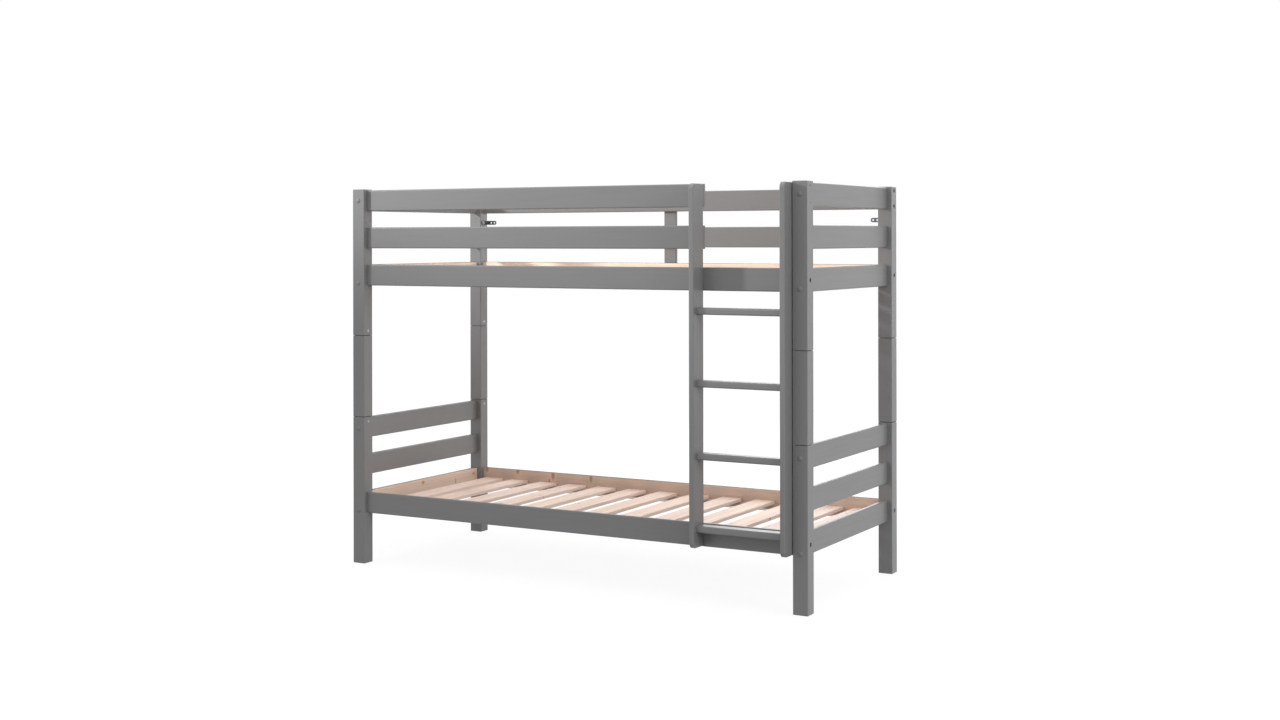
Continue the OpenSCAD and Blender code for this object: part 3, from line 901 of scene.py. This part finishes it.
def mould_plastic(tree, place, finish):
    pebble = noise(tree, place, 2600.0, 1.0)
    cloud = noise(tree, place, 90.0, 3.0)
    tone = tinted(tree, rgba(finish.paint), ease(tree, cloud, CORE, (0.95, 1.06)))
    pale = paler(finish.paint, 1.4)
    return {
        "Base Color": rub_edges(tree, place, tone, pale, width=0.0006, amount=0.4),
        "Roughness": ease(tree, cloud, CORE, (0.19, 0.25)),
        "Bump": (pebble, 0.00003, 0.5),
    }


def webbing_material():
    """Plain-woven cotton tape."""
    return shared_material("webbing_tape", weave_tape)


def weave_tape(tree, place, finish):
    weave = place_group(tree, "Plain Weave", build_plain_weave, Vector=place, Threads=TAPE_THREADS)
    cloud = ease(tree, noise(tree, place, 12.0, 3.0), CORE, (0.9, 1.04))
    return {
        # the weave's painted shade darkens the tape where its threads dip
        "Base Color": tinted(tree, tinted(tree, rgba(finish.webbing), weave["Shade"]), cloud),
        "Roughness": 0.85,
        "Sheen Weight": 0.3,
        "Bump": (weave["Height"], 0.0003, 0.8),
    }


# ---- operators ----


class BUNKBED_OT_posts(bpy.types.Operator):
    """Ease the ends and holes of the posts, and part those that stand on each other by a hair."""

    bl_idname = "bunk_bed.posts"
    bl_label = "Posts"

    def execute(self, context):
        shape = context.scene.bunk_bed_shape
        for section, stands, carries in (("lower", 0, 1), ("extension", 1, 1), ("upper", 1, 0)):
            for corner in CORNERS:
                node = f"{section}_post_{corner}"
                low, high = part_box(node)
                post = merged_copy(node, f"{node}_square")
                for level, lift in ((low.z, stands), (high.z, -carries)):
                    pick(
                        post, "FACE",
                        lambda face: all(abs(v.co.z - level) < MERGE_DISTANCE for v in face.verts),
                    )
                    bpy.ops.transform.translate(value=(0, 0, lift * shape.joint_gap / 2))
                ease_sharp_edges(post, shape.post_edge)
                paint_board(post, node, "Z")
        return {"FINISHED"}


class BUNKBED_OT_end_rails(bpy.types.Operator):
    """Make the three boards in each end of each bed; the lowest is bare pine inside."""

    bl_idname = "bunk_bed.end_rails"
    bl_label = "End rails"

    def execute(self, context):
        radius = context.scene.bunk_bed_shape.rail_round
        for bed in BEDS:
            for side in ("left", "right"):
                for level in ("bottom", "middle", "top"):
                    node = f"{bed}_{side}_end_rail_{level}"
                    board = board_for(node, "Y", radius)
                    if level == "bottom":
                        bare_inner_face(board, side)
                    paint_board(board, node, "Y", pine_material("Y", "X"))
        return {"FINISHED"}


class BUNKBED_OT_side_rails(bpy.types.Operator):
    """Make the long rails that carry the slats, bare pine on their inner faces."""

    bl_idname = "bunk_bed.side_rails"
    bl_label = "Side rails"

    def execute(self, context):
        radius = context.scene.bunk_bed_shape.rail_round
        low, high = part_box("upper_front_side_rail")
        heads = screw_heads(low, high)
        drop = Vector((0, 0, low.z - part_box("lower_front_side_rail")[0].z))
        for bed in BEDS:
            for side in ("front", "rear"):
                node = f"{bed}_{side}_side_rail"
                board = board_for(node, "X", radius)
                bare_inner_face(board, side)
                if side == "front":
                    sink_heads(board, heads, drop if bed == "lower" else Vector())
                paint_board(board, node, "X", pine_material("X", "Y"))
        return {"FINISHED"}


class BUNKBED_OT_guard_rails(bpy.types.Operator):
    """Make the guard rails of the upper bed and the batten that ties the rear ones."""

    bl_idname = "bunk_bed.guard_rails"
    bl_label = "Guard rails"

    def execute(self, context):
        for node, axis, screwed in (
            ("front_guard_rail_middle", "X", True), ("front_guard_rail_top", "X", True),
            ("rear_guard_rail_middle", "X", False), ("rear_guard_rail_top", "X", False),
            ("rear_guard_batten", "Z", True),
        ):
            board = board_for(node, axis, context.scene.bunk_bed_shape.rail_round)
            if screwed:
                sink_heads(board, screw_heads(*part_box(node)))
            paint_board(board, node, axis)
        return {"FINISHED"}


class BUNKBED_OT_ladder_stiles(bpy.types.Operator):
    """Make the two uprights of the ladder, their front corners rounded."""

    bl_idname = "bunk_bed.ladder_stiles"
    bl_label = "Ladder stiles"

    def execute(self, context):
        shape = context.scene.bunk_bed_shape
        for side in ("left", "right"):
            node = f"ladder_stile_{side}"
            low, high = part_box(node)
            stile = add_block(f"{node}_board", low, high)
            middle = (low.y + high.y) / 2
            round_edges(
                stile, lambda edge: runs_along(edge, "X") and edge.verts[0].co.y < middle,
                shape.stile_corner, CORNER_STEPS,
            )
            round_edges(stile, is_rim, shape.stile_arris, ARRIS_STEPS, clamp_overlap=False)
            smooth(stile)
            paint_board(stile, node, "Z")
        return {"FINISHED"}


class BUNKBED_OT_ladder_rungs(bpy.types.Operator):
    """Make the flat rungs of the ladder."""

    bl_idname = "bunk_bed.ladder_rungs"
    bl_label = "Ladder rungs"

    def execute(self, context):
        for number in range(1, RUNGS + 1):
            node = f"ladder_rung_{number}"
            rung = board_for(node, "X", context.scene.bunk_bed_shape.rung_round)
            paint_board(rung, node, "X")
        return {"FINISHED"}


class BUNKBED_OT_slats(bpy.types.Operator):
    """Make the slats of both beds, one board copied along the bed, each with wood of its own."""

    bl_idname = "bunk_bed.slats"
    bl_label = "Slats"

    def execute(self, context):
        for bed in BEDS:
            node = f"{bed}_slats"
            boxes = sorted(loose_parts(node), key=lambda box: box[0].x)
            start = boxes[0][0]
            first = add_board(
                f"{node}_row", *boxes[0], "Y", context.scene.bunk_bed_shape.slat_arris
            )
            row = []
            for number, (low, high) in enumerate(boxes):
                slat = copy_of(first, f"{bed}_slat_{number}")
                slat.data.transform(Matrix.Translation(low - start))
                mark_board(slat, low, high)
                row.append(slat)
            bpy.data.objects.remove(first)
            dress(join(f"{node}_row", row), node, "bare_pine", pine_material("Y", "Z"))
        return {"FINISHED"}


class BUNKBED_OT_slat_fixings(bpy.types.Operator):
    """Finish the cleats that carry the slats, and make the tapes that space them."""

    bl_idname = "bunk_bed.slat_fixings"
    bl_label = "Cleats and tapes"

    def execute(self, context):
        for bed in BEDS:
            paint_node(f"{bed}_cleats", pine_material("X", "Y"))
            node = f"{bed}_slat_tapes"
            tapes = []
            for low, high in loose_parts(node):
                tape = add_block(f"{node}_strip", low, high)
                round_edges(tape, lambda edge: runs_along(edge, "X"), TAPE_EDGE, FINE_STEPS)
                pick(tape, "EDGE", lambda edge: runs_along(edge, "X"))
                bpy.ops.mesh.subdivide(number_cuts=TAPE_CUTS)
                smooth(tape)
                tapes.append(tape)
            dress(join(f"{node}_strips", tapes), node, "webbing", webbing_material())
        return {"FINISHED"}


class BUNKBED_OT_bolt_caps(bpy.types.Operator):
    """Make one domed cap for each bed and set a copy of it over each end bolt."""

    bl_idname = "bunk_bed.bolt_caps"
    bl_label = "Bolt caps"

    def execute(self, context):
        for bed in BEDS:
            node = f"{bed}_bolt_caps"
            boxes = loose_parts(node)
            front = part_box(f"{bed}_post_front_left")[0].y
            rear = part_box(f"{bed}_post_rear_left")[1].y
            low, high = boxes[0]
            proud = high.y - rear if high.y > rear else front - low.y
            cap = self.model_cap(context, (high.x - low.x) / 2, proud)
            copies = []
            for low, high in boxes:
                face, turn = (front, QUARTER) if low.y < front else (rear, -QUARTER)
                spot = Vector(((low.x + high.x) / 2, face, (low.z + high.z) / 2))
                twin = copy_of(cap, f"{bed}_cap")
                twin.data.transform(Matrix.Translation(spot) @ Matrix.Rotation(turn, 4, "X"))
                copies.append(twin)
            bpy.data.objects.remove(cap)
            dress(join(f"{node}_domes", copies), node, "cap_plastic", cap_material())
        return {"FINISHED"}

    def model_cap(self, context, radius, height):
        """A dome on a straight rim, standing on Z = 0."""
        shape = context.scene.bunk_bed_shape
        rim, steps = shape.cap_rim, shape.cap_rings
        clear_selection()
        bpy.ops.mesh.primitive_cylinder_add(
            vertices=CAP_SIDES, radius=radius, depth=rim, location=(0, 0, rim / 2)
        )
        cap = bpy.context.object
        bpy.ops.object.transform_apply()
        bpy.ops.object.mode_set(mode="EDIT")
        pick(cap, "FACE", lambda face: face.normal.z > FACES_UP)
        last_radius, last_height = radius, 0.0
        for step in range(1, steps + 1):
            angle = QUARTER * step / (steps + DOME_OPENING)
            ring, lift = radius * math.cos(angle), (height - rim) * math.sin(angle)
            bpy.ops.mesh.inset(thickness=last_radius - ring)
            bpy.ops.transform.translate(value=(0, 0, lift - last_height))
            last_radius, last_height = ring, lift
        smooth(cap, DOME_SMOOTH_ANGLE)
        return cap


class BUNKBED_OT_wall_brackets(bpy.types.Operator):
    """Make the perforated angle brackets with stamped edges, and finish their washers."""

    bl_idname = "bunk_bed.wall_brackets"
    bl_label = "Wall brackets"

    def execute(self, context):
        for side in ("left", "right"):
            node = f"wall_bracket_{side}"
            strap = merged_copy(node, f"{node}_strap")
            ease_sharp_edges(strap, context.scene.bunk_bed_shape.strap_edge)
            dress(strap, node, "dark_steel", metal_material("strap_steel"))
        paint_node("wall_bracket_washers", metal_material("zinc"))
        return {"FINISHED"}


class BUNKBED_OT_hardware(bpy.types.Operator):
    """Finish the bolts, screws, pins, inserts and dowels."""

    bl_idname = "bunk_bed.hardware"
    bl_label = "Hardware"

    def execute(self, context):
        for bed in BEDS:
            paint_node(f"{bed}_bolts", metal_material("dark_steel"))
            paint_node(f"{bed}_screws", metal_material("zinc"))
            paint_node(f"{bed}_joint_pins", metal_material("zinc"))
            paint_node(f"{bed}_inserts", metal_material("brass"))
            paint_node(f"{bed}_dowels", pine_material("X", "Z"))
        return {"FINISHED"}


class BUNKBED_OT_stage(bpy.types.Operator):
    """Set up the camera, the lamps and the pale floor."""

    bl_idname = "bunk_bed.stage"
    bl_label = "Stage"

    def execute(self, context):
        scene, stage = context.scene, context.scene.bunk_bed_stage
        scene.view_settings.view_transform = "Standard"
        self.add_camera(scene, stage)
        self.add_lamps(scene, stage)
        self.add_room(scene, stage)
        self.add_floor(stage)
        return {"FINISHED"}

    def add_camera(self, scene, stage):
        lens = bpy.data.cameras.new("camera")
        lens.lens = stage.focal_length
        lens.sensor_width = SENSOR_WIDTH
        lens.shift_x, lens.shift_y = stage.shift_x, stage.shift_y
        camera = bpy.data.objects.new("camera", lens)
        scene.collection.objects.link(camera)
        camera.matrix_world = (
            Matrix.Translation(stage.camera_place)
            @ Matrix.Rotation(stage.camera_turn, 4, "Z")
            @ Matrix.Rotation(QUARTER, 4, "X")
            @ Matrix.Rotation(stage.camera_roll, 4, "Z")
        )
        scene.camera = camera

    def add_lamps(self, scene, stage):
        """A key lamp, front left, and soft boxes on the right, behind the bed and overhead."""
        key_place, side_place = Vector(stage.key_place), Vector(stage.side_place)
        self.hang(
            scene, "key", "SPOT", stage.key_power, key_place, key_place + KEY_FACING,
            shadow_soft_size=KEY_RADIUS, spot_size=KEY_BEAM, spot_blend=KEY_BLEND,
        )
        for name, power, size, place, target in (
            ("side", stage.side_power, SIDE_SIZE, side_place, SIDE_TARGET),
            ("back", stage.back_power, BACK_SIZE, BACK_PLACE, BACK_TARGET),
            ("top", stage.top_power, TOP_SIZE, TOP_PLACE, TOP_TARGET),
        ):
            self.hang(scene, name, "AREA", power, place, target, size=size)

    def hang(self, scene, name, kind, power, place, target, **values):
        """Hangs a lamp at a place, facing a target."""
        light = bpy.data.lights.new(name, kind)
        light.energy = power
        for key, value in values.items():
            setattr(light, key, value)
        lamp = bpy.data.objects.new(name, light)
        lamp.location = place
        lamp.rotation_mode = "QUATERNION"
        lamp.rotation_quaternion = (place - target).to_track_quat("Z", "Y")
        lamp.visible_camera = False
        scene.collection.objects.link(lamp)

    def add_room(self, scene, stage):
        """Even light from all round, which the camera and reflections see as white."""
        world = bpy.data.worlds.new("room")
        world.use_nodes = True
        scene.world = world
        tree = world.node_tree
        lit = tree.nodes["Background"]
        lit.inputs["Color"].default_value = (1, 1, 1, 1)
        lit.inputs["Strength"].default_value = stage.room_strength
        seen = add_node(tree, "ShaderNodeBackground", {"Color": (1, 1, 1, 1), "Strength": 1.0})
        self.show(tree, tree.nodes["World Output"], lit, seen)

    def add_floor(self, stage):
        """A matt floor, which the camera and reflections see as nearly white."""
        clear_selection()
        bpy.ops.mesh.primitive_plane_add(size=stage.floor_size, location=(0, 0, FLOOR_LEVEL))
        floor = bpy.context.object
        floor.name = "floor"
        material = bpy.data.materials.new("pale_floor")
        material.use_nodes = True
        tree = material.node_tree
        tree.nodes.remove(tree.nodes["Principled BSDF"])
        matt, faint = (
            add_node(tree, "ShaderNodeBsdfDiffuse", {"Color": (grey, grey, grey, 1)})
            for grey in (FLOOR_GREY, SEEN_FLOOR_GREY)
        )
        glow = add_node(
            tree, "ShaderNodeEmission", {"Color": (1, 1, 1, 1), "Strength": SEEN_FLOOR_GLOW}
        )
        seen = add_node(tree, "ShaderNodeAddShader", {0: faint.outputs[0], 1: glow.outputs[0]})
        self.show(tree, tree.nodes["Material Output"], matt, seen)
        floor.data.materials.append(material)

    def show(self, tree, output, lit, seen):
        """Lets the camera and reflections see one shader, and diffuse light another."""
        ray = add_node(tree, "ShaderNodeLightPath").outputs
        direct = math_node(tree, "MAXIMUM", ray["Is Camera Ray"], ray["Is Glossy Ray"])
        direct = math_node(tree, "MAXIMUM", direct, ray["Is Transmission Ray"])
        mix = add_node(
            tree, "ShaderNodeMixShader", {0: direct, 1: lit.outputs[0], 2: seen.outputs[0]}
        )
        tree.links.new(mix.outputs[0], output.inputs["Surface"])


# ---- panel and registration ----

MAKERS = (
    BUNKBED_OT_stage,
    BUNKBED_OT_posts,
    BUNKBED_OT_end_rails,
    BUNKBED_OT_side_rails,
    BUNKBED_OT_guard_rails,
    BUNKBED_OT_ladder_stiles,
    BUNKBED_OT_ladder_rungs,
    BUNKBED_OT_slats,
    BUNKBED_OT_slat_fixings,
    BUNKBED_OT_bolt_caps,
    BUNKBED_OT_wall_brackets,
    BUNKBED_OT_hardware,
)
SETTINGS = {
    "bunk_bed_shape": BunkBedShape,
    "bunk_bed_finish": BunkBedFinish,
    "bunk_bed_stage": BunkBedStage,
}


class BUNKBED_PT_panel(bpy.types.Panel):
    """Lists the settings and the pieces of the bed."""

    bl_idname = "BUNKBED_PT_panel"
    bl_label = "Bunk Bed"
    bl_space_type = "VIEW_3D"
    bl_region_type = "UI"
    bl_category = "Bunk Bed"

    def draw(self, context):
        for name, group in SETTINGS.items():
            column = self.layout.column(align=True)
            for prop in group.__annotations__:
                column.prop(getattr(context.scene, name), prop)
        for maker in MAKERS:
            self.layout.operator(maker.bl_idname)


CLASSES = (*SETTINGS.values(), *MAKERS, BUNKBED_PT_panel)


def register():
    for cls in CLASSES:
        bpy.utils.register_class(cls)
    for name, group in SETTINGS.items():
        setattr(bpy.types.Scene, name, PointerProperty(type=group))


def unregister():
    for name in SETTINGS:
        delattr(bpy.types.Scene, name)
    for cls in reversed(CLASSES):
        bpy.utils.unregister_class(cls)


def main():
    register()
    for maker in MAKERS:
        family, name = maker.bl_idname.split(".")
        getattr(getattr(bpy.ops, family), name)()


if __name__ == "__main__":
    main()
